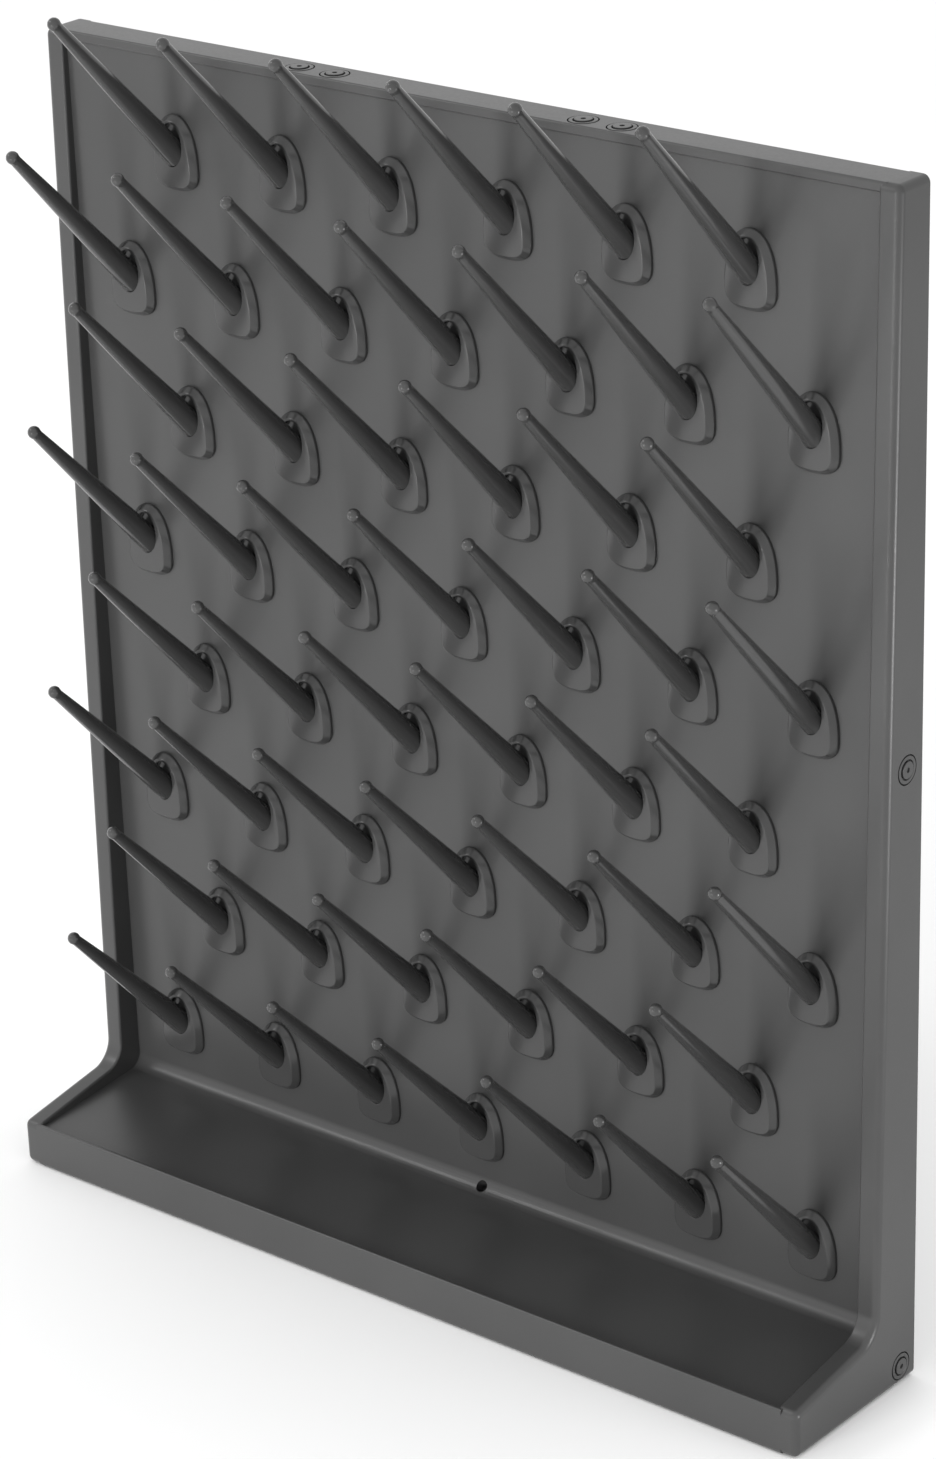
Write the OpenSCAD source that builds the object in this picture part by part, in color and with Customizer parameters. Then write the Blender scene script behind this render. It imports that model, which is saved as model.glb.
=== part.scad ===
// Drying pegboard rack: a hollow moulded board that hangs on a wall, with a drip tray along its foot,
// leaning side rims and a staggered field of push-fitted draining pegs.
// Frame: +X to the right of someone facing the board, -Y towards them, +Z up. The origin lies in the base
// plane, under the middle of the board and halfway along the tray's depth. Lengths are in millimetres.

/* [Board] */
// Overall width of the moulding
board_w = 552; // [540:1:620]
// Overall height of the moulding
board_h = 652; // [640:1:760]
// Overall depth at the tray, from the wall to the front lip
tray_d = 107; // [100:1:125]
// Depth of the front face of the peg panel
panel_d = 20.2; // [19:0.1:23]
// Thickness of the panel, the tray floor and the base
wall = 3.2; // [2.6:0.1:3.6]
// Thickness of the two side walls and the top wall, which take the screws
side_wall = 5; // [4.4:0.1:6]

/* [Rims and top band] */
// Width of the raised rim down each side
rim_w = 12.5; // [10:0.5:15]
// Depth of the rim's front face, carried down to the base
rim_base_d = 36.4; // [34:0.2:40]
// Depth of the rim's front face at the top
rim_top_d = 24; // [23.5:0.1:27]
// Height of the thin band along the top of the panel
band_h = 5.5; // [4:0.5:8]
// How far that band stands in front of the panel
band_step = 2; // [1:0.1:2.6]

/* [Tray] */
// Height of the front lip's crest
lip_h = 27; // [26:0.5:30]
// Thickness of the lip at its crest
lip_t = 2.5; // [2:0.1:3.5]
// Height of the tray floor just behind the lip
floor_front_z = 25; // [23:0.5:25]
// Height of the tray floor where it turns up into the panel
floor_back_z = 32; // [30:0.5:33]
// Radius of the cove between floor and panel
cove_r = 8; // [5:0.5:9]
// Rise of the side cheeks towards the panel, degrees
cheek_slope = 9.8; // [8:0.2:11]
// Radius between a cheek's top and the rim's front face
cheek_fillet = 12; // [6:1:14]
// Diameter of the drain in the cove
drain_dia = 7; // [5:0.5:7]
// Depth of the drain's axis
drain_d = 24; // [24:0.1:26]

/* [Peg field] */
// Sideways pitch of the pegs in a row
pitch_x = 75; // [60:0.5:78]
// Upright pitch of the rows
pitch_z = 75; // [60:0.5:76]
// Height of the lowest row's rod axis at the collar face
first_row_z = 75.5; // [73:0.5:78]
// Least room between the outermost collars and the rims or the top band
field_margin = 6; // [3:1:12]

/* [Peg] */
// Thickness of the collar that stands on the panel
collar_t = 5; // [4:0.5:6]
// Inset of the collar's front face from its outline
collar_bevel = 2.8; // [2:0.1:3.4]
// Half width of the collar at its widest
collar_half_w = 15.4; // [14.5:0.1:17]
// Height of the collar's top above the peg's middle
collar_top = 16.6; // [16:0.1:19]
// Depth of the collar's foot below the peg's middle
collar_foot = 24.4; // [22:0.1:25]
// Half width of the oval pocket in the collar's face
pocket_half_w = 7.5; // [7.4:0.1:8]
// Half height of the oval pocket
pocket_half_h = 11.7; // [11:0.1:12]
// Depth of the pocket
pocket_depth = 3; // [2:0.5:3.5]
// Angle of the rod above the horizontal
rod_angle = 46.3; // [40:0.5:50]
// Length of the rod from the collar face to the middle of its ball
rod_len = 115; // [80:1:116]
// Rod diameter at the collar
rod_base_dia = 14; // [12:0.5:14]
// Rod diameter behind the ball
rod_tip_dia = 6.2; // [5:0.2:7]
// Ball diameter
ball_dia = 7.2; // [7.2:0.2:10]
// Diameter of the plug that fills the panel hole
plug_dia = 14; // [13:0.5:14]

/* [Screws and hangers] */
// Diameter of a screw cap
cap_dia = 15.4; // [14:0.2:15.4]
// Thickness of a screw cap below the surface
cap_t = 1.8; // [1.4:0.1:2]
// Diameter of the raised disc on a cap
disc_dia = 10; // [8:0.5:11]
// Height of that disc above the surface
disc_h = 0.8; // [0.4:0.1:1.2]
// Distance of each hanger's middle from the middle of the board
hanger_x = 92.5; // [80:0.5:110]
// Distance between the two top screws of one hanger
screw_pair = 24; // [20:1:28]
// Height of the upper side screws
side_screw_z = 354; // [300:1:400]
// Thickness of a hanger's sheet steel
steel_t = 2; // [1.5:0.1:2.5]
// Width of a hanger
hanger_w = 44; // [40:1:50]

/* [Hidden] */
back_y = tray_d / 2;
half_w = board_w / 2;
rim_x = half_w - rim_w;
cavity_x = half_w - side_wall;
panel_y = back_y - panel_d;
band_d = panel_d + band_step;
top_in_z = board_h - side_wall;
rim_lean = atan((rim_base_d - rim_top_d) / board_h);
cheek_rise = tan(cheek_slope);
rim_slope = tan(rim_lean);
// where the cheek's top line meets the rim's front face
corner_z = (lip_h + (tray_d - rim_base_d) * cheek_rise) / (1 - rim_slope * cheek_rise);
corner_d = rim_base_d - corner_z * rim_slope;
split_z = corner_z + cheek_fillet;
overlap = 1;
lip_foot = 1;
edge_r = 1.2;
front_edge_r = 5;
back_edge_r = 2;
outline_top_r = 6;
outline_foot_r = 4;
lip_face_r = 2.6;
fit_gap = 0.3;
hole_gap = 0.2;
cap_gap = 0.3;
shank_r = 2;
shank_gap = 0.2;
pilot_gap = 0.05;
shank_len = 14;
dimple_r = 1.3;
dimple_depth = 0.6;
top_screw_d = 12.7;
side_screw_d = 13.2;
foot_screw_d = 12.5;
foot_screw_z = 11;
boss_r = 6;
cover_t = 3;
lug_len = 14;
lug_half_h = 7.2;
lug_front_gap = 0.4;
hanger_drop = 46;
hanger_back = 0.5;
keyhole_r = 4.5;
slot_half_w = 2.5;
slot_rise = 13;
keyhole_drop = 32;
notch_gap = 0.6;
ridge_out = 0.8;
ridge_len = 2;
plug_nose = 4;
plug_nose_r = 5.4;
rod_sink = 6;
rod_drop = 0.9;
pocket_lift = 0.8;
collar_wide_z = -12;
collar_top_power = 2.2;
collar_foot_power = 2.8;
collar_points = 36;
edge_share = 0.3;
arc_steps = 5;
cove_steps = 8;
round_fn = 48;
rod_fn = 32;

// as many rows and columns as the panel takes; the lowest row is a full one and the rest alternate with it
rows = floor((board_h - band_h - field_margin - collar_top - first_row_z) / pitch_z) + 1;
full_count = floor(2 * (rim_x - field_margin - collar_half_w) / pitch_x) + 1;

function row_count(r) = (rows - r) % 2 == 0 ? full_count : full_count - 1;
function peg_x(r, c) = (c - (row_count(r) + 1) / 2) * pitch_x;
function peg_z(r) = first_row_z + (rows - r) * pitch_z;

// which piece to draw

function unit(v) = v / norm(v);
function wrap(a) = a > 180 ? a - 360 : (a < -180 ? a + 360 : a);

// points of the arc that rounds corner b of the path a, b, c to radius r
function corner_arc(a, b, c, r, steps) =
    let (
        u = unit(a - b),
        v = unit(c - b),
        half = acos(u * v) / 2,
        reach = r / tan(half),
        mid = b + unit(u + v) * (r / sin(half)),
        p = b + u * reach - mid,
        q = b + v * reach - mid,
        start = atan2(p[1], p[0]),
        sweep = wrap(atan2(q[1], q[0]) - start)
    )
    [for (i = [0 : steps]) mid + r * [cos(start + sweep * i / steps), sin(start + sweep * i / steps)]];

// closed outline through corners given as [u, v, radius]; radius 0 keeps the corner sharp
function rounded(list, steps) =
    let (n = len(list))
    [for (i = [0 : n - 1])
        let (
            a = list[(i + n - 1) % n],
            b = list[i],
            c = list[(i + 1) % n],
            a2 = [a[0], a[1]],
            b2 = [b[0], b[1]],
            c2 = [c[0], c[1]]
        )
        each (b[2] > 0 ? corner_arc(a2, b2, c2, b[2], steps) : [b2])];

// the side profile between the rims, as [depth, height, radius]
middle_profile = rounded([
    [0, 0, edge_r],
    [tray_d, 0, lip_face_r],
    [tray_d, lip_h, edge_r],
    [tray_d - lip_t, lip_h, edge_r],
    [tray_d - lip_t - lip_foot, floor_front_z, edge_r],
    [panel_d, floor_back_z, cove_r],
    [panel_d, board_h - band_h, 0],
    [band_d, board_h - band_h, edge_r / 2],
    [band_d, board_h, edge_r],
    [0, board_h, edge_r]
], cove_steps);

// the side profile of a cheek and the rim above it
cheek_profile = rounded([
    [0, 0, edge_r],
    [tray_d, 0, lip_face_r],
    [tray_d, lip_h, edge_r],
    [corner_d, corner_z, cheek_fillet],
    [rim_top_d, board_h, front_edge_r],
    [0, board_h, edge_r]
], cove_steps);

// the hollow behind the panel and under the tray, open at the back
cavity_profile = [
    [-overlap, wall],
    [tray_d - wall, wall],
    [tray_d - wall, floor_front_z - wall],
    [panel_d - wall + cove_r, floor_back_z - wall],
    [panel_d - wall, floor_back_z - wall + cove_r],
    [panel_d - wall, top_in_z],
    [-overlap, top_in_z]
];

// a point of the collar's outline: a rounded tear shape, widest below the middle and inset by the bevel
function collar_point(a, inset) =
    let (
        s = sin(a),
        c = cos(a),
        p = s >= 0 ? collar_top_power : collar_foot_power,
        reach = (s >= 0 ? collar_top - collar_wide_z : collar_foot + collar_wide_z) - inset
    )
    [
        sign(c) * (collar_half_w - inset) * pow(abs(c), 2 / p),
        collar_wide_z + sign(s) * reach * pow(abs(s), 2 / p)
    ];

function collar_outline(inset) = [for (i = [0 : collar_points - 1]) collar_point(360 * (i + 0.5) / collar_points, inset)];

module side_extrude(points, x_from, x_to) {
    translate([x_from, back_y, 0])
        rotate([90, 0, 90])
            linear_extrude(height = x_to - x_from)
                polygon([for (p = points) [-p[0], p[1]]]);
}

// a prism along the depth, from depth d_from to d_to, with its outline given in x and z
module face_extrude(points, d_from, d_to) {
    translate([0, back_y - d_from, 0])
        rotate([90, 0, 0])
            linear_extrude(height = d_to - d_from)
                polygon(points);
}

module plan_outline(depth, far) {
    polygon(rounded([
        [-half_w, depth, far],
        [half_w, depth, far],
        [half_w, 0, front_edge_r],
        [-half_w, 0, front_edge_r]
    ], arc_steps));
}

module along_y(d_from, d_to, r) {
    translate([0, back_y - d_from, 0])
        rotate([90, 0, 0])
            cylinder(h = d_to - d_from, r = r, $fn = round_fn);
}

module board_body() {
    intersection() {
        union() {
            side_extrude(middle_profile, -rim_x - overlap, rim_x + overlap);
            side_extrude(cheek_profile, -half_w, -rim_x);
            side_extrude(cheek_profile, rim_x, half_w);
        }
        face_extrude(rounded([
            [-half_w, 0, outline_foot_r],
            [half_w, 0, outline_foot_r],
            [half_w, board_h, outline_top_r],
            [-half_w, board_h, outline_top_r]
        ], arc_steps), -overlap, tray_d + overlap);
        union() {
            translate([0, -back_y, -overlap])
                linear_extrude(height = split_z + overlap)
                    plan_outline(tray_d, back_edge_r);
            translate([0, back_y - rim_base_d, 0])
                rotate([-rim_lean, 0, 0])
                    translate([0, 0, corner_z])
                        linear_extrude(height = board_h)
                            plan_outline(2 * rim_base_d, back_edge_r);
        }
    }
}

module screw_seat() {
    translate([0, 0, -cap_t])
        cylinder(h = cap_t + overlap, r = cap_dia / 2 + cap_gap, $fn = round_fn);
    translate([0, 0, -side_wall - overlap])
        cylinder(h = side_wall + 2 * overlap, r = shank_r + shank_gap, $fn = round_fn);
}

module at_top_screws() {
    for (side = [-1, 1])
        for (k = [-1, 1])
            translate([side * hanger_x + k * screw_pair / 2, back_y - top_screw_d, board_h])
                children();
}

module at_side_screws() {
    for (side = [-1, 1]) {
        translate([side * half_w, back_y - side_screw_d, side_screw_z])
            rotate([0, side * 90, 0])
                children();
        translate([side * half_w, back_y - foot_screw_d, foot_screw_z])
            rotate([0, side * 90, 0])
                children();
    }
}

module board_shell() {
    color([0.30, 0.30, 0.31])
    difference() {
        union() {
            difference() {
                board_body();
                side_extrude(cavity_profile, -cavity_x, cavity_x);
            }
            translate([0, back_y - drain_d, wall / 2])
                cylinder(h = floor_back_z - wall, r = boss_r, $fn = round_fn);
        }
        translate([0, back_y - drain_d, -overlap])
            cylinder(h = floor_back_z + cove_r + overlap, r = drain_dia / 2, $fn = round_fn);
        for (r = [1 : rows])
            for (c = [1 : row_count(r)])
                translate([peg_x(r, c), 0, peg_z(r)])
                    along_y(panel_d - wall - overlap, panel_d + overlap, plug_dia / 2 + hole_gap);
        at_top_screws()
            screw_seat();
        at_side_screws()
            screw_seat();
    }
}

module lug(side, d, z) {
    translate([side * (cavity_x - fit_gap - lug_len / 2), back_y, z])
        translate([-lug_len / 2, -(panel_d - wall - lug_front_gap), -lug_half_h])
            cube([lug_len, panel_d - wall - lug_front_gap - overlap, 2 * lug_half_h]);
}

module lug_bore(side, d, z) {
    translate([side * (cavity_x + overlap), back_y - d, z])
        rotate([0, -side * 90, 0])
            cylinder(h = lug_len + 3 * overlap, r = shank_r + pilot_gap, $fn = round_fn);
}

module rear_cover() {
    cover_x = cavity_x - fit_gap;
    cover_z = wall + fit_gap;
    color([0.22, 0.22, 0.23])
    difference() {
        union() {
            face_extrude([
                [-cover_x, cover_z],
                [cover_x, cover_z],
                [cover_x, top_in_z - fit_gap],
                [-cover_x, top_in_z - fit_gap]
            ], 0, cover_t);
            for (side = [-1, 1]) {
                lug(side, side_screw_d, side_screw_z);
                lug(side, foot_screw_d, foot_screw_z);
            }
        }
        for (side = [-1, 1]) {
            lug_bore(side, side_screw_d, side_screw_z);
            lug_bore(side, foot_screw_d, foot_screw_z);
            translate([side * hanger_x - hanger_w / 2 - notch_gap, back_y - cover_t - overlap, 0])
                translate([0, 0, top_in_z - hanger_drop - notch_gap])
                    cube([hanger_w + 2 * notch_gap, cover_t + 2 * overlap, hanger_drop + 2 * overlap]);
        }
    }
}

module hanger(side) {
    leg_z = top_in_z - hanger_drop;
    color([0.62, 0.63, 0.64])
    translate([side * hanger_x, back_y, 0])
    difference() {
        union() {
            translate([-hanger_w / 2, -hanger_back - steel_t, leg_z])
                cube([hanger_w, steel_t, hanger_drop]);
            translate([-hanger_w / 2, wall + lug_front_gap - panel_d, top_in_z - steel_t])
                cube([hanger_w, panel_d - wall - lug_front_gap - hanger_back, steel_t]);
        }
        translate([0, overlap, top_in_z - keyhole_drop])
            rotate([90, 0, 0])
                cylinder(h = steel_t + 3 * overlap, r = keyhole_r, $fn = round_fn);
        translate([-slot_half_w, -steel_t - overlap, top_in_z - keyhole_drop])
            cube([2 * slot_half_w, steel_t + 2 * overlap, slot_rise]);
        translate([0, overlap, top_in_z - keyhole_drop + slot_rise])
            rotate([90, 0, 0])
                cylinder(h = steel_t + 3 * overlap, r = slot_half_w, $fn = round_fn);
        for (k = [-1, 1])
            translate([k * screw_pair / 2, -top_screw_d, top_in_z - steel_t - overlap])
                cylinder(h = steel_t + 2 * overlap, r = shank_r + pilot_gap, $fn = round_fn);
    }
}

module hanger_left() {
    hanger(-1);
}

module hanger_right() {
    hanger(1);
}

module capped_screw() {
    difference() {
        union() {
            translate([0, 0, -cap_t])
                cylinder(h = cap_t, r = cap_dia / 2, $fn = round_fn);
            cylinder(h = disc_h, r = disc_dia / 2, $fn = round_fn);
            translate([0, 0, -shank_len])
                cylinder(h = shank_len, r = shank_r, $fn = round_fn);
        }
        translate([0, 0, disc_h - dimple_depth])
            cylinder(h = dimple_depth + overlap, r = dimple_r, $fn = round_fn);
    }
}

module top_screws() {
    color([0.26, 0.26, 0.27])
    at_top_screws()
        capped_screw();
}

module side_screws() {
    color([0.26, 0.26, 0.27])
    at_side_screws()
        capped_screw();
}

module collar() {
    film = 0.01;
    hull() {
        rotate([90, 0, 0])
            linear_extrude(height = collar_t * edge_share)
                polygon(collar_outline(0));
        translate([0, film - collar_t, 0])
            rotate([90, 0, 0])
                linear_extrude(height = film)
                    polygon(collar_outline(collar_bevel));
    }
}

module rod() {
    intersection() {
        translate([0, -collar_t, -rod_drop])
            rotate([90 - rod_angle, 0, 0])
                translate([0, 0, -rod_sink]) {
                    cylinder(h = rod_len + rod_sink, r1 = rod_base_dia / 2, r2 = rod_tip_dia / 2, $fn = rod_fn);
                    translate([0, 0, rod_len + rod_sink])
                        sphere(r = ball_dia / 2, $fn = rod_fn);
                }
        translate([-rod_len, -2 * rod_len, -rod_len])
            cube([2 * rod_len, 2 * rod_len, 3 * rod_len]);
    }
}

module plug() {
    rotate([-90, 0, 0]) {
        cylinder(h = wall + ridge_len, r = plug_dia / 2, $fn = round_fn);
        translate([0, 0, wall])
            cylinder(h = ridge_len, r = plug_dia / 2 + ridge_out, $fn = round_fn);
        translate([0, 0, wall + ridge_len])
            cylinder(h = plug_nose, r1 = plug_dia / 2, r2 = plug_nose_r, $fn = round_fn);
    }
}

module pocket() {
    points = [for (i = [0 : round_fn / 2 - 1])
        [pocket_half_w * cos(i * 720 / round_fn), pocket_lift + pocket_half_h * sin(i * 720 / round_fn)]];
    translate([0, pocket_depth - collar_t, 0])
        rotate([90, 0, 0])
            linear_extrude(height = pocket_depth + overlap)
                polygon(points);
}

module peg(r, c) {
    color([0.24, 0.24, 0.25])
    translate([peg_x(r, c), panel_y, peg_z(r)]) {
        difference() {
            collar();
            pocket();
        }
        rod();
        plug();
    }
}

board_shell();
rear_cover();
hanger_left();
hanger_right();
top_screws();
side_screws();
for (r = [1 : rows])
    for (c = [1 : row_count(r)])
        peg(r, c);
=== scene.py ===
import math

import bmesh
import bpy
from mathutils import Matrix, Vector


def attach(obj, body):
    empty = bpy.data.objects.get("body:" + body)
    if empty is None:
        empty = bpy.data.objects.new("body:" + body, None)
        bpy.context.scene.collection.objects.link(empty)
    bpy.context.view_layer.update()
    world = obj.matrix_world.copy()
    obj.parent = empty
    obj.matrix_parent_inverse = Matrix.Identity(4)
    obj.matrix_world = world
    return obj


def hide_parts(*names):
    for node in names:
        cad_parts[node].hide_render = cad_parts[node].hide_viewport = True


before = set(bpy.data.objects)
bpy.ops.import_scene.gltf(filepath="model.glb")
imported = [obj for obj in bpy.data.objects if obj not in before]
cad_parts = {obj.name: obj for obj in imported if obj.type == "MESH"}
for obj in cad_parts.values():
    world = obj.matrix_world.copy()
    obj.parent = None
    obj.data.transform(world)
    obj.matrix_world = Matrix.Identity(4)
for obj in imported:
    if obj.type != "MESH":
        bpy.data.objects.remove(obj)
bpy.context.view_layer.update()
print("rack frame loaded:", len(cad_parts), "nodes")

mm = 0.001
backY = 0.0535  # the wall side of the board, half the tray's depth behind the origin
near = 0.00001  # how close a vertex lies to a plane that it is on
weld = 0.000001  # vertices this close are merged

# camera
view = {
    "place": (1.41437, -1.64988, 1.24171),
    "right": (0.773873, 0.632543, -0.031777),
    "up": (-0.257631, 0.360235, 0.896581),
    "back": (0.578573, -0.685653, 0.441739),
    "lens": 110.386,
    "shift": (-0.0008, 0.1752),
}


def makeCamera():
    data = bpy.data.cameras.new("rackCamera")
    data.sensor_width = 36
    data.lens = view["lens"]
    data.shift_x, data.shift_y = view["shift"]
    data.clip_start, data.clip_end = 0.05, 60
    data.dof.use_dof = False
    cam = bpy.data.objects.new("rackCamera", data)
    turn = Matrix((view["right"], view["up"], view["back"])).transposed()
    cam.matrix_world = Matrix.Translation(view["place"]) @ turn.to_4x4()
    bpy.context.scene.collection.objects.link(cam)
    bpy.context.scene.camera = cam


makeCamera()
print("camera set")

# studio: a pale floor, an even white surround and four soft panels
studio = {
    "floorSize": 14.0,
    "floorColour": (0.94, 0.94, 0.94, 1),
    "floorRough": 0.9,
    "floorDrop": 0.0004,
    "skyStrength": 1.06,
    "panels": {
        "keyPanel": {"power": 92.0, "place": (-0.15, -2.6, 0.15), "size": (0.8, 0.8), "aim": (0, 0, 0.3)},
        "glintPanel": {"power": 10.0, "place": (-0.15, -2.6, 0.15), "size": (0.8, 0.8), "aim": (0, 0, 0.3)},
        "crestPanel": {"power": 7.0, "place": (-1.45, -1.15, 1.75), "size": (0.5, 0.5), "aim": (0, 0, 0.2)},
        "fillPanel": {"power": 3.2, "place": (1.2, 0.1, 0.12), "size": (0.3, 0.2), "aim": (0, 0, 0.35)},
    },
    "withoutGlints": ["keyPanel"],  # it shapes the shadows, and its weak twin gives the glints
}


def softPanel(name):
    panel = studio["panels"][name]
    data = bpy.data.lights.new(name, "AREA")
    data.energy = panel["power"]
    data.shape = "RECTANGLE"
    data.size, data.size_y = panel["size"]
    lamp = bpy.data.objects.new(name, data)
    lamp.location = panel["place"]
    lamp.visible_glossy = name not in studio["withoutGlints"]
    lamp.rotation_mode = "QUATERNION"
    lamp.rotation_quaternion = (Vector(panel["aim"]) - Vector(panel["place"])).to_track_quat("-Z", "Y")
    bpy.context.scene.collection.objects.link(lamp)


def makeStudio():
    world = bpy.data.worlds.new("whiteRoom")
    world.use_nodes = True
    sky = world.node_tree.nodes["Background"]
    sky.inputs["Color"].default_value = (1, 1, 1, 1)
    sky.inputs["Strength"].default_value = studio["skyStrength"]
    bpy.context.scene.world = world
    bpy.context.scene.view_settings.view_transform = "Standard"  # plain whites for the pale studio
    bm = bmesh.new()
    bmesh.ops.create_grid(bm, x_segments=1, y_segments=1, size=studio["floorSize"] / 2)
    mesh = bpy.data.meshes.new("studioFloor")
    bm.to_mesh(mesh)
    bm.free()
    floor = bpy.data.objects.new("studioFloor", mesh)
    floor.location = (0, 0, -studio["floorDrop"])
    bpy.context.scene.collection.objects.link(floor)
    paint = bpy.data.materials.new("paleFloor")
    paint.use_nodes = True
    skin = paint.node_tree.nodes["Principled BSDF"]
    skin.inputs["Base Color"].default_value = studio["floorColour"]
    skin.inputs["Roughness"].default_value = studio["floorRough"]
    mesh.materials.append(paint)
    for name in studio["panels"]:
        softPanel(name)


makeStudio()
print("studio lit")

# what every moulded plastic here shares
moulding = {
    "ior": 1.5,
    "grainDetail": 2,
    "driftScale": 9,
    "driftDetail": 3,
    "toneStops": (0.3, 0.7),
    "roughSpread": (-0.04, 0.06),
    "bumpStrength": 0.5,
}

# the hangers' plating
zinc = {
    "spangleScale": 220,
    "dark": (0.46, 0.47, 0.48, 1),
    "pale": (0.60, 0.61, 0.62, 1),
    "rough": (0.32, 0.46),
}

# finishes, in linear colour; grain is the size of the moulded texture in metres
finishes = {
    "boardPlastic": {
        "colour": (0.037, 0.037, 0.037), "rough": 0.32,
        "grain": 0.0016, "bump": 0.000006, "mottle": 0.10,
    },
    "pegPlastic": {
        "colour": (0.034, 0.034, 0.034), "rough": 0.17,
        "grain": 0.0012, "bump": 0.000004, "mottle": 0.10,
    },
    "capPlastic": {
        "colour": (0.032, 0.032, 0.032), "rough": 0.30,
        "grain": 0.0012, "bump": 0.00001, "mottle": 0.08,
    },
    "coverPlastic": {
        "colour": (0.030, 0.030, 0.030), "rough": 0.50,
        "grain": 0.0020, "bump": 0.00004, "mottle": 0.12,
    },
}


def mouldedPlastic(name):
    look = finishes[name]
    mat = bpy.data.materials.new(name)
    mat.use_nodes = True
    tree = mat.node_tree
    skin = tree.nodes["Principled BSDF"]
    skin.inputs["IOR"].default_value = moulding["ior"]
    place = tree.nodes.new("ShaderNodeTexCoord")
    grain = tree.nodes.new("ShaderNodeTexNoise")
    grain.inputs["Scale"].default_value = 1 / look["grain"]
    grain.inputs["Detail"].default_value = moulding["grainDetail"]
    drift = tree.nodes.new("ShaderNodeTexNoise")  # slow drift of shade from the moulding
    drift.inputs["Scale"].default_value = moulding["driftScale"]
    drift.inputs["Detail"].default_value = moulding["driftDetail"]
    tone = tree.nodes.new("ShaderNodeValToRGB")
    shades = (1 - look["mottle"], 1 + look["mottle"])
    for stop, spot, shade in zip(tone.color_ramp.elements, moulding["toneStops"], shades):
        stop.position = spot
        stop.color = (*(c * shade for c in look["colour"]), 1)
    gloss = tree.nodes.new("ShaderNodeMapRange")
    gloss.inputs["To Min"].default_value = look["rough"] + moulding["roughSpread"][0]
    gloss.inputs["To Max"].default_value = look["rough"] + moulding["roughSpread"][1]
    bump = tree.nodes.new("ShaderNodeBump")
    bump.inputs["Strength"].default_value = moulding["bumpStrength"]
    bump.inputs["Distance"].default_value = look["bump"]
    join = tree.links.new
    join(place.outputs["Object"], grain.inputs["Vector"])
    join(place.outputs["Object"], drift.inputs["Vector"])
    join(drift.outputs["Fac"], tone.inputs["Fac"])
    join(tone.outputs["Color"], skin.inputs["Base Color"])
    join(grain.outputs["Fac"], gloss.inputs["Value"])
    join(gloss.outputs["Result"], skin.inputs["Roughness"])
    join(grain.outputs["Fac"], bump.inputs["Height"])
    join(bump.outputs["Normal"], skin.inputs["Normal"])
    return mat


def zincSteel():
    mat = bpy.data.materials.new("zincSteel")
    mat.use_nodes = True
    tree = mat.node_tree
    skin = tree.nodes["Principled BSDF"]
    skin.inputs["Metallic"].default_value = 1
    place = tree.nodes.new("ShaderNodeTexCoord")
    spangle = tree.nodes.new("ShaderNodeTexVoronoi")
    spangle.inputs["Scale"].default_value = zinc["spangleScale"]
    tone = tree.nodes.new("ShaderNodeValToRGB")
    tone.color_ramp.elements[0].color = zinc["dark"]
    tone.color_ramp.elements[1].color = zinc["pale"]
    gloss = tree.nodes.new("ShaderNodeMapRange")
    gloss.inputs["To Min"].default_value, gloss.inputs["To Max"].default_value = zinc["rough"]
    join = tree.links.new
    join(place.outputs["Object"], spangle.inputs["Vector"])
    join(spangle.outputs["Distance"], tone.inputs["Fac"])
    join(tone.outputs["Color"], skin.inputs["Base Color"])
    join(spangle.outputs["Distance"], gloss.inputs["Value"])
    join(gloss.outputs["Result"], skin.inputs["Roughness"])
    return mat


materials = {name: mouldedPlastic(name) for name in finishes}
materials["zincSteel"] = zincSteel()
print("finishes mixed")


def finishPiece(name, bm, material, nodes):
    bmesh.ops.remove_doubles(bm, verts=bm.verts, dist=weld)
    bmesh.ops.recalc_face_normals(bm, faces=bm.faces)
    mesh = bpy.data.meshes.new(name)
    bm.to_mesh(mesh)
    bm.free()
    mesh.materials.append(materials[material])
    piece = bpy.data.objects.new(name, mesh)
    bpy.context.scene.collection.objects.link(piece)
    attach(piece, "root")
    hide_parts(*nodes)
    return piece


def softShade(piece, degrees=32):
    for face in piece.data.polygons:
        face.use_smooth = True
    piece.data.set_sharp_from_angle(angle=math.radians(degrees))
    weigh = piece.modifiers.new("evenNormals", "WEIGHTED_NORMAL")
    weigh.keep_sharp = True
    weigh.weight = 90


def bake(piece, cutter, operation):
    cut = piece.modifiers.new("cut", "BOOLEAN")
    cut.object = cutter
    cut.operation = operation
    cut.solver = "EXACT"
    bpy.context.view_layer.update()
    made = piece.evaluated_get(bpy.context.evaluated_depsgraph_get())
    mesh = bpy.data.meshes.new_from_object(made)
    piece.modifiers.clear()
    piece.data = mesh
    bpy.data.objects.remove(cutter)


# the moulded board: sizes in millimetres, depths measured forward from the wall
board = {
    "width": 552, "height": 652, "trayDepth": 107, "panelDepth": 20.2,
    "rimWidth": 12.5, "rimBaseDepth": 36.4, "rimTopDepth": 24.0,
    "bandHeight": 5.5, "bandStep": 2.0,
    "lipHeight": 27, "lipThick": 2.5, "lipFoot": 1, "floorFront": 25, "floorBack": 32,
    "coveRadius": 8, "cheekSlope": 9.8, "cheekFillet": 12,
    "outerEdge": 4.0, "innerEdge": 1.4, "cheekOverlap": 2.6, "lipEdge": 1.1, "footEdge": 2.6, "topEdge": 1.1,
    "floorEdge": 0.7, "bandEdge": 1.3,
    "sideWall": 5, "wall": 3.2, "coverRecess": 3.1, "cutReach": 20,
    "drainSides": 40, "drainLength": 60, "drainDepth": 24, "drainRadius": 3.5,
    "mouthPlace": (22.5, 34.3), "mouthDepth": 8, "mouthLean": 45,
}


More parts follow.
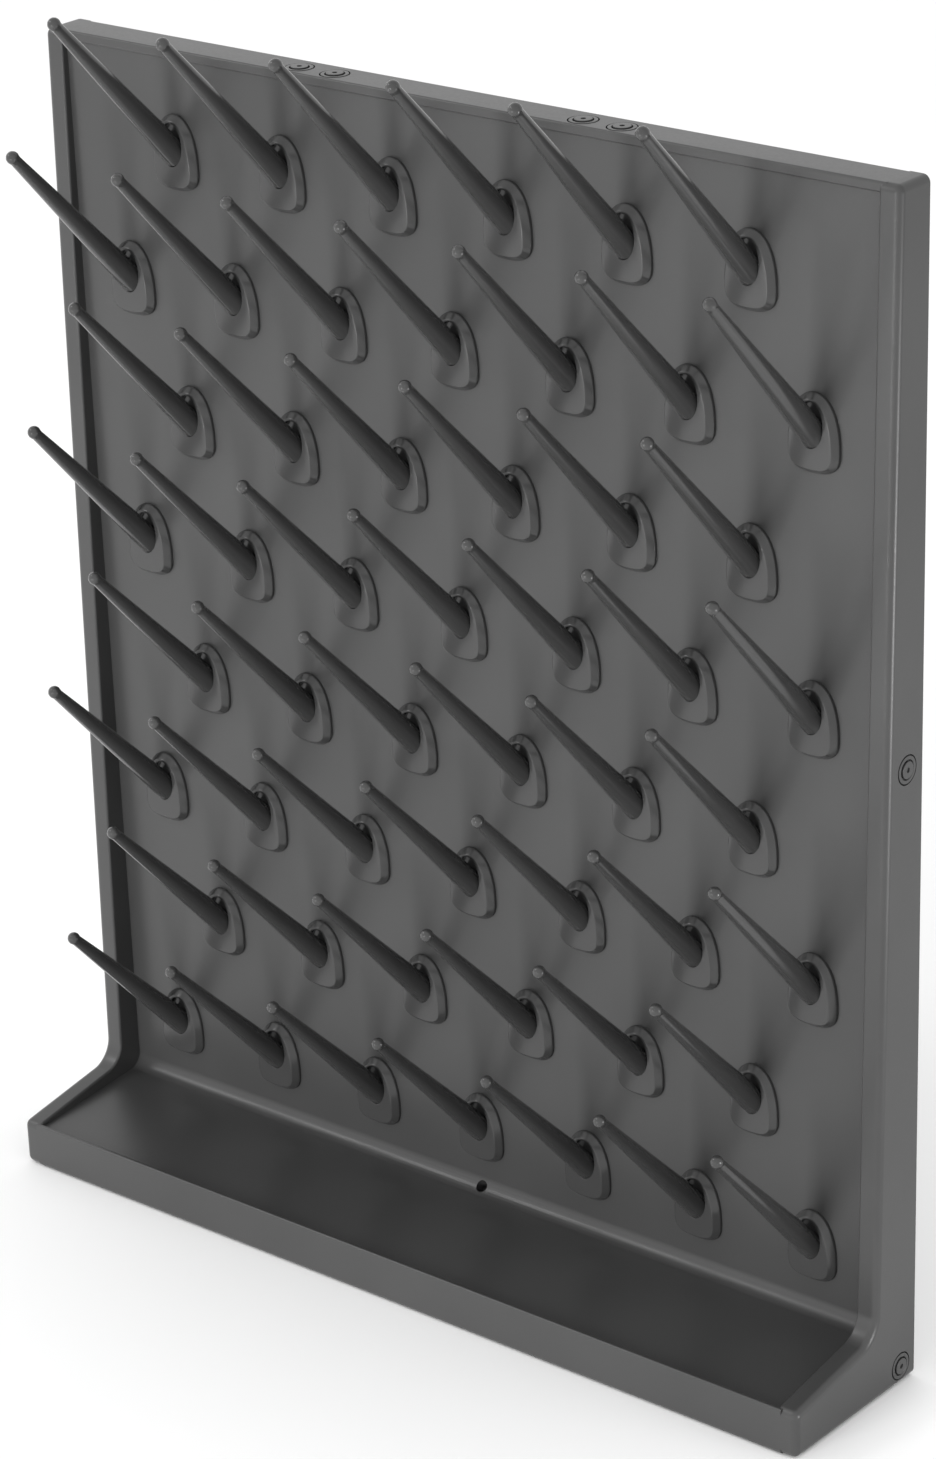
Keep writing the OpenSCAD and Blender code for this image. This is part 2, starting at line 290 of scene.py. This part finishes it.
def extrudeSide(corners, left, right):
    bm = bmesh.new()
    ring = [bm.verts.new((left * mm, backY - d * mm, z * mm)) for d, z in corners]
    face = bm.faces.new(ring)
    grown = bmesh.ops.extrude_face_region(bm, geom=[face])
    moved = [g for g in grown["geom"] if isinstance(g, bmesh.types.BMVert)]
    bmesh.ops.translate(bm, verts=moved, vec=((right - left) * mm, 0, 0))
    bmesh.ops.recalc_face_normals(bm, faces=bm.faces)
    return bm


def crossEdges(bm, depth, height):
    y, z = backY - depth * mm, height * mm
    found = []
    for e in bm.edges:
        a, b = e.verts
        placed = all(abs(v.co.y - y) < near and abs(v.co.z - z) < near for v in (a, b))
        if placed and abs(a.co.x - b.co.x) > mm:
            found.append(e)
    return found


def sideEdges(bm, x):  # the edges in that upright plane, without those on the wall side
    plane = [e for e in bm.edges if all(abs(v.co.x - x * mm) < near for v in e.verts)]
    return [e for e in plane if not all(v.co.y > backY - near for v in e.verts)]


def roundOff(bm, edges, offset, segments):
    if edges:
        bmesh.ops.bevel(bm, geom=edges, offset=offset * mm, offset_type="OFFSET", segments=segments,
                        profile=0.5, affect="EDGES", clamp_overlap=True, material=-1)


def cheekCorner():
    rise = math.tan(math.radians(board["cheekSlope"]))
    lean = (board["rimBaseDepth"] - board["rimTopDepth"]) / board["height"]
    z = (board["lipHeight"] + (board["trayDepth"] - board["rimBaseDepth"]) * rise) / (1 - lean * rise)
    return board["rimBaseDepth"] - z * lean, z


def makeMiddle():
    b = board
    rimX = b["width"] / 2 - b["rimWidth"]
    corners = [
        (0, 0), (b["trayDepth"], 0), (b["trayDepth"], b["lipHeight"]),
        (b["trayDepth"] - b["lipThick"], b["lipHeight"]),
        (b["trayDepth"] - b["lipThick"] - b["lipFoot"], b["floorFront"]),
        (b["panelDepth"], b["floorBack"]),
        (b["panelDepth"], b["height"] - b["bandHeight"]),
        (b["panelDepth"] + b["bandStep"], b["height"] - b["bandHeight"]),
        (b["panelDepth"] + b["bandStep"], b["height"]), (0, b["height"]),
    ]
    bm = extrudeSide(corners, -rimX - b["cheekOverlap"], rimX + b["cheekOverlap"])
    roundOff(bm, crossEdges(bm, *corners[5]), b["coveRadius"], 8)
    roundOff(bm, crossEdges(bm, *corners[1]), b["footEdge"], 4)
    roundOff(bm, crossEdges(bm, *corners[2]) + crossEdges(bm, *corners[3]), b["lipEdge"], 4)
    roundOff(bm, crossEdges(bm, *corners[4]), b["floorEdge"], 2)
    roundOff(bm, crossEdges(bm, *corners[7]), b["bandEdge"], 4)
    roundOff(bm, crossEdges(bm, *corners[8]) + crossEdges(bm, *corners[9]), b["topEdge"], 4)
    return bm


def makeCheek(side):
    b = board
    half = b["width"] / 2
    rimX = half - b["rimWidth"]
    corner = cheekCorner()
    corners = [
        (0, 0), (b["trayDepth"], 0), (b["trayDepth"], b["lipHeight"]),
        corner, (b["rimTopDepth"], b["height"]), (0, b["height"]),
    ]
    bm = extrudeSide(corners, rimX, half)
    roundOff(bm, crossEdges(bm, *corner), b["cheekFillet"], 10)
    across = crossEdges(bm, *corners[1]) + crossEdges(bm, *corners[2]) + crossEdges(bm, *corners[4])
    roundOff(bm, sideEdges(bm, half) + across, b["outerEdge"], 5)
    inner = [e for e in sideEdges(bm, rimX) if not all(v.co.z < near for v in e.verts)]
    roundOff(bm, inner, b["innerEdge"], 3)
    if side < 0:
        bmesh.ops.scale(bm, vec=(-1, 1, 1), verts=bm.verts)
        bmesh.ops.reverse_faces(bm, faces=bm.faces)
    return bm


def looseObject(name, bm):
    bmesh.ops.recalc_face_normals(bm, faces=bm.faces)
    mesh = bpy.data.meshes.new(name)
    bm.to_mesh(mesh)
    bm.free()
    made = bpy.data.objects.new(name, mesh)
    bpy.context.scene.collection.objects.link(made)
    return made


# screws with press-on caps: the ring sits in a recess, the disc stands proud
screws = {
    "capRadius": 7.4, "recessRadius": 8.1, "recessDepth": 1.8, "discRadius": 4.6, "discHeight": 0.7,
    "grooveRadius": 5.4, "grooveDepth": 1.2, "dimpleRadius": 1.3, "dimpleDepth": 0.8, "edge": 0.3,
    "ringHeight": 0.2, "shankRadius": 2, "shankLength": 14, "sides": 48,
    "top": [(-104.5, 12.7), (-80.5, 12.7), (80.5, 12.7), (104.5, 12.7)],
    "side": [(13.2, 354), (12.5, 11)],
}


def seats():
    half, high = board["width"] / 2, board["height"]
    for x, d in screws["top"]:
        yield "top", Matrix.Translation((x * mm, backY - d * mm, high * mm))
    for side in (-1, 1):
        for d, z in screws["side"]:
            turn = Matrix.Rotation(math.radians(90 * side), 4, "Y")
            yield "side", Matrix.Translation((side * half * mm, backY - d * mm, z * mm)) @ turn


def drill(bm, radius, depth, sides, place):
    made = bmesh.ops.create_cone(bm, cap_ends=True, segments=sides, radius1=radius * mm, radius2=radius * mm,
                                 depth=depth * mm)["verts"]
    bmesh.ops.transform(bm, matrix=place, verts=made)


def makeBoard():
    b = board
    body = looseObject("boardBody", makeMiddle())
    for side in (-1, 1):
        bake(body, looseObject("cheek", makeCheek(side)), "UNION")
    bm = bmesh.new()
    wide = b["width"] / 2 - b["sideWall"]
    recess = bmesh.ops.create_cube(bm, size=1)["verts"]
    top = b["height"] - b["sideWall"]
    bmesh.ops.scale(bm, vec=(2 * wide * mm, b["cutReach"] * mm, (top - b["wall"]) * mm), verts=recess)
    behind = backY + (b["cutReach"] / 2 - b["coverRecess"]) * mm
    bmesh.ops.translate(bm, verts=recess, vec=(0, behind, (top + b["wall"]) / 2 * mm))
    for _, place in seats():
        drill(bm, screws["recessRadius"], 2 * screws["recessDepth"], screws["sides"], place)
    drain = Matrix.Translation((0, backY - b["drainDepth"] * mm, 0))
    drill(bm, b["drainRadius"], b["drainLength"], b["drainSides"], drain)
    d, z = b["mouthPlace"]  # the drain's mouth faces out of the cove
    lean = Matrix.Rotation(math.radians(b["mouthLean"]), 4, "X")
    mouth = Matrix.Translation((0, backY - d * mm, z * mm)) @ lean
    drill(bm, b["drainRadius"], 2 * b["mouthDepth"], b["drainSides"], mouth)
    bake(body, looseObject("boardCutter", bm), "DIFFERENCE")
    bm = bmesh.new()
    bm.from_mesh(body.data)
    bpy.data.objects.remove(body)
    piece = finishPiece("board", bm, "boardPlastic", ["board_shell"])
    softShade(piece)


makeBoard()
print("board moulded")


def makeScrews(kind):
    s = screws
    dimple = s["discHeight"] - s["dimpleDepth"]
    path = [
        (0, dimple), (s["dimpleRadius"], dimple), (s["dimpleRadius"], s["discHeight"]),
        (s["discRadius"], s["discHeight"]), (s["discRadius"], -s["grooveDepth"]),
        (s["grooveRadius"], -s["grooveDepth"]), (s["grooveRadius"], s["ringHeight"]),
        (s["capRadius"], s["ringHeight"]), (s["capRadius"], -s["recessDepth"]),
        (s["shankRadius"], -s["recessDepth"]), (s["shankRadius"], -s["shankLength"]), (0, -s["shankLength"]),
    ]
    bm = bmesh.new()
    verts = [bm.verts.new((r * mm, 0, z * mm)) for r, z in path]
    for pair in zip(verts, verts[1:]):
        bm.edges.new(pair)
    crests = [v for v, (r, z) in zip(verts, path) if r and z in (s["discHeight"], s["ringHeight"])]
    bmesh.ops.bevel(bm, geom=crests, offset=s["edge"] * mm, offset_type="OFFSET", segments=3,
                    profile=0.5, affect="VERTICES", material=-1)
    bmesh.ops.spin(bm, geom=list(bm.verts) + list(bm.edges), cent=(0, 0, 0), axis=(0, 0, 1), angle=math.tau,
                   steps=s["sides"], use_merge=True)
    bmesh.ops.remove_doubles(bm, verts=bm.verts, dist=weld)
    one = bpy.data.meshes.new("screwOne")
    bm.to_mesh(one)
    bm.free()
    bm = bmesh.new()
    for which, place in seats():
        if which == kind:
            before = len(bm.verts)
            bm.from_mesh(one)
            bm.verts.ensure_lookup_table()
            bmesh.ops.transform(bm, matrix=place, verts=bm.verts[before:])
    bpy.data.meshes.remove(one)
    piece = finishPiece(kind + "Screws", bm, "capPlastic", [kind + "_screws"])
    softShade(piece)


makeScrews("top")
makeScrews("side")
print("screws capped")

# the push-in peg: sizes in millimetres round the rod's axis at the collar
peg = {
    "halfWidth": 15.4, "top": 16.6, "foot": 24.4, "wideAt": -12, "topPower": 2.2, "footPower": 2.8,
    "edge": 1.5, "thick": 5.0, "bevel": 2.8,
    "pocketHalf": (7.5, 11.7), "pocketLift": 0.8, "pocketDepth": 3.0,
    "angle": 46.3, "length": 115, "baseRadius": 7.0, "rootRadius": 6.93, "tipRadius": 3.1, "neck": 3,
    "ballRadius": 3.58, "ballRings": (-22, 0, 22, 45, 68), "sink": 6, "drop": 0.9, "trim": 0.4,
    "plugRadius": 7.0, "plugStart": 0.1, "plugGrip": 5, "noseRadius": 5.4, "plugLength": 9.0,
    "collarSides": 56, "pocketSides": 40, "rodSides": 28, "crease": 35, "softEdge": 0.45, "sharpFrom": 34,
    "pitch": 75, "firstRow": 75.5, "rows": 8, "inRow": (6, 7),
}


def pegCollar():
    p = peg
    bm = bmesh.new()
    bmesh.ops.create_circle(bm, cap_ends=True, segments=p["collarSides"], radius=1)
    for v in bm.verts:  # pull the circle into a rounded tear, widest below the middle
        upper = v.co.y >= 0
        power = 2 / (p["topPower"] if upper else p["footPower"])
        reach = p["top"] - p["wideAt"] if upper else p["foot"] + p["wideAt"]
        across = math.copysign(abs(v.co.x) ** power, v.co.x) * p["halfWidth"]
        along = p["wideAt"] + math.copysign(abs(v.co.y) ** power, v.co.y) * reach
        v.co = (across * mm, 0, along * mm)
    grown = bmesh.ops.extrude_face_region(bm, geom=list(bm.faces))["geom"]
    raised = [g for g in grown if isinstance(g, bmesh.types.BMVert)]
    bmesh.ops.translate(bm, verts=raised, vec=(0, -p["edge"] * mm, 0))
    bmesh.ops.recalc_face_normals(bm, faces=bm.faces)
    front = [f for f in bm.faces if f.normal.y < -0.9][0]
    bmesh.ops.inset_region(bm, faces=[front], thickness=p["bevel"] * mm, depth=0, use_even_offset=True)
    bmesh.ops.translate(bm, verts=front.verts, vec=(0, -(p["thick"] - p["edge"]) * mm, 0))
    rimEdges = list(front.edges)
    bmesh.ops.delete(bm, geom=[front], context="FACES_ONLY")
    oval = bmesh.ops.create_circle(bm, cap_ends=False, segments=p["pocketSides"], radius=mm)["verts"]
    bmesh.ops.rotate(bm, verts=oval, matrix=Matrix.Rotation(math.radians(90), 3, "X"))
    bmesh.ops.scale(bm, verts=oval, vec=(p["pocketHalf"][0], 1, p["pocketHalf"][1]))
    bmesh.ops.translate(bm, verts=oval, vec=(0, -p["thick"] * mm, p["pocketLift"] * mm))
    ovalEdges = list({e for v in oval for e in v.link_edges})
    bmesh.ops.bridge_loops(bm, edges=rimEdges + ovalEdges)
    sunk = bmesh.ops.extrude_edge_only(bm, edges=ovalEdges)["geom"]
    low = [g for g in sunk if isinstance(g, bmesh.types.BMVert)]
    bmesh.ops.translate(bm, verts=low, vec=(0, p["pocketDepth"] * mm, 0))
    bmesh.ops.holes_fill(bm, edges=[g for g in sunk if isinstance(g, bmesh.types.BMEdge)], sides=0)
    bmesh.ops.recalc_face_normals(bm, faces=bm.faces)
    return bm


def addTurned(bm, path, turn, steps):
    verts = [bm.verts.new((r * mm, 0, z * mm)) for r, z in path]
    chain = [bm.edges.new(pair) for pair in zip(verts, verts[1:])]
    before = set(bm.verts) - set(verts)
    bmesh.ops.spin(bm, geom=verts + chain, cent=(0, 0, 0), axis=(0, 0, 1), angle=math.tau, steps=steps,
                   use_merge=True)
    made = [v for v in bm.verts if v not in before]
    bmesh.ops.transform(bm, matrix=turn, verts=made)


def makePegMesh():
    p = peg
    bm = pegCollar()
    sharp = [e for e in bm.edges if len(e.link_faces) == 2 and e.calc_face_angle(0) > math.radians(p["crease"])
             and all(v.co.y < -0.8 * p["edge"] * mm for v in e.verts)]
    roundOff(bm, sharp, p["softEdge"], 2)
    path = [
        (0, -p["sink"]), (p["baseRadius"], -p["sink"]),
        (p["rootRadius"], 0), (p["tipRadius"], p["length"] - p["neck"]),
    ]
    for ring in p["ballRings"]:
        turn = math.radians(ring)
        path.append((p["ballRadius"] * math.cos(turn), p["length"] + p["ballRadius"] * math.sin(turn)))
    path.append((0, p["length"] + p["ballRadius"]))
    foot = Matrix.Translation((0, -p["thick"] * mm, -p["drop"] * mm))
    lean = foot @ Matrix.Rotation(math.radians(90 - p["angle"]), 4, "X")
    rod = bmesh.new()
    addTurned(rod, path, lean, p["rodSides"])
    bmesh.ops.remove_doubles(rod, verts=rod.verts, dist=weld)
    whole = list(rod.verts) + list(rod.edges) + list(rod.faces)
    bmesh.ops.bisect_plane(rod, geom=whole, plane_co=(0, -p["trim"] * mm, 0), plane_no=(0, 1, 0), clear_outer=True)
    bmesh.ops.holes_fill(rod, edges=[e for e in rod.edges if e.is_boundary], sides=0)
    plug = [
        (0, p["plugStart"]), (p["plugRadius"], p["plugStart"]), (p["plugRadius"], p["plugGrip"]),
        (p["noseRadius"], p["plugLength"]), (0, p["plugLength"]),
    ]
    addTurned(rod, plug, Matrix.Rotation(math.radians(-90), 4, "X"), p["rodSides"])
    bmesh.ops.remove_doubles(rod, verts=rod.verts, dist=weld)
    bmesh.ops.recalc_face_normals(rod, faces=rod.faces)
    part = bpy.data.meshes.new("pegRod")
    rod.to_mesh(part)
    rod.free()
    bm.from_mesh(part)
    bpy.data.meshes.remove(part)
    bmesh.ops.recalc_face_normals(bm, faces=bm.faces)
    mesh = bpy.data.meshes.new("pegOne")
    bm.to_mesh(mesh)
    bm.free()
    return mesh


def makePegs():
    one = makePegMesh()
    for r in range(1, peg["rows"] + 1):
        count = peg["inRow"][(r + 1) % 2]
        for c in range(1, count + 1):
            x = (c - (count + 1) / 2) * peg["pitch"]
            z = peg["firstRow"] + (peg["rows"] - r) * peg["pitch"]
            bm = bmesh.new()
            bm.from_mesh(one)
            bmesh.ops.translate(bm, verts=bm.verts, vec=(x * mm, backY - board["panelDepth"] * mm, z * mm))
            piece = finishPiece(f"peg{r}x{c}", bm, "pegPlastic", [f"peg_{r}_{c}"])
            softShade(piece, peg["sharpFrom"])
    bpy.data.meshes.remove(one)


makePegs()
print("pegs pushed in")


def dressNode(node, material):
    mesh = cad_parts[node].data
    mesh.materials.clear()
    mesh.materials.append(materials[material])


dressNode("rear_cover", "coverPlastic")
dressNode("hanger_left", "zincSteel")
dressNode("hanger_right", "zincSteel")
print("back dressed")
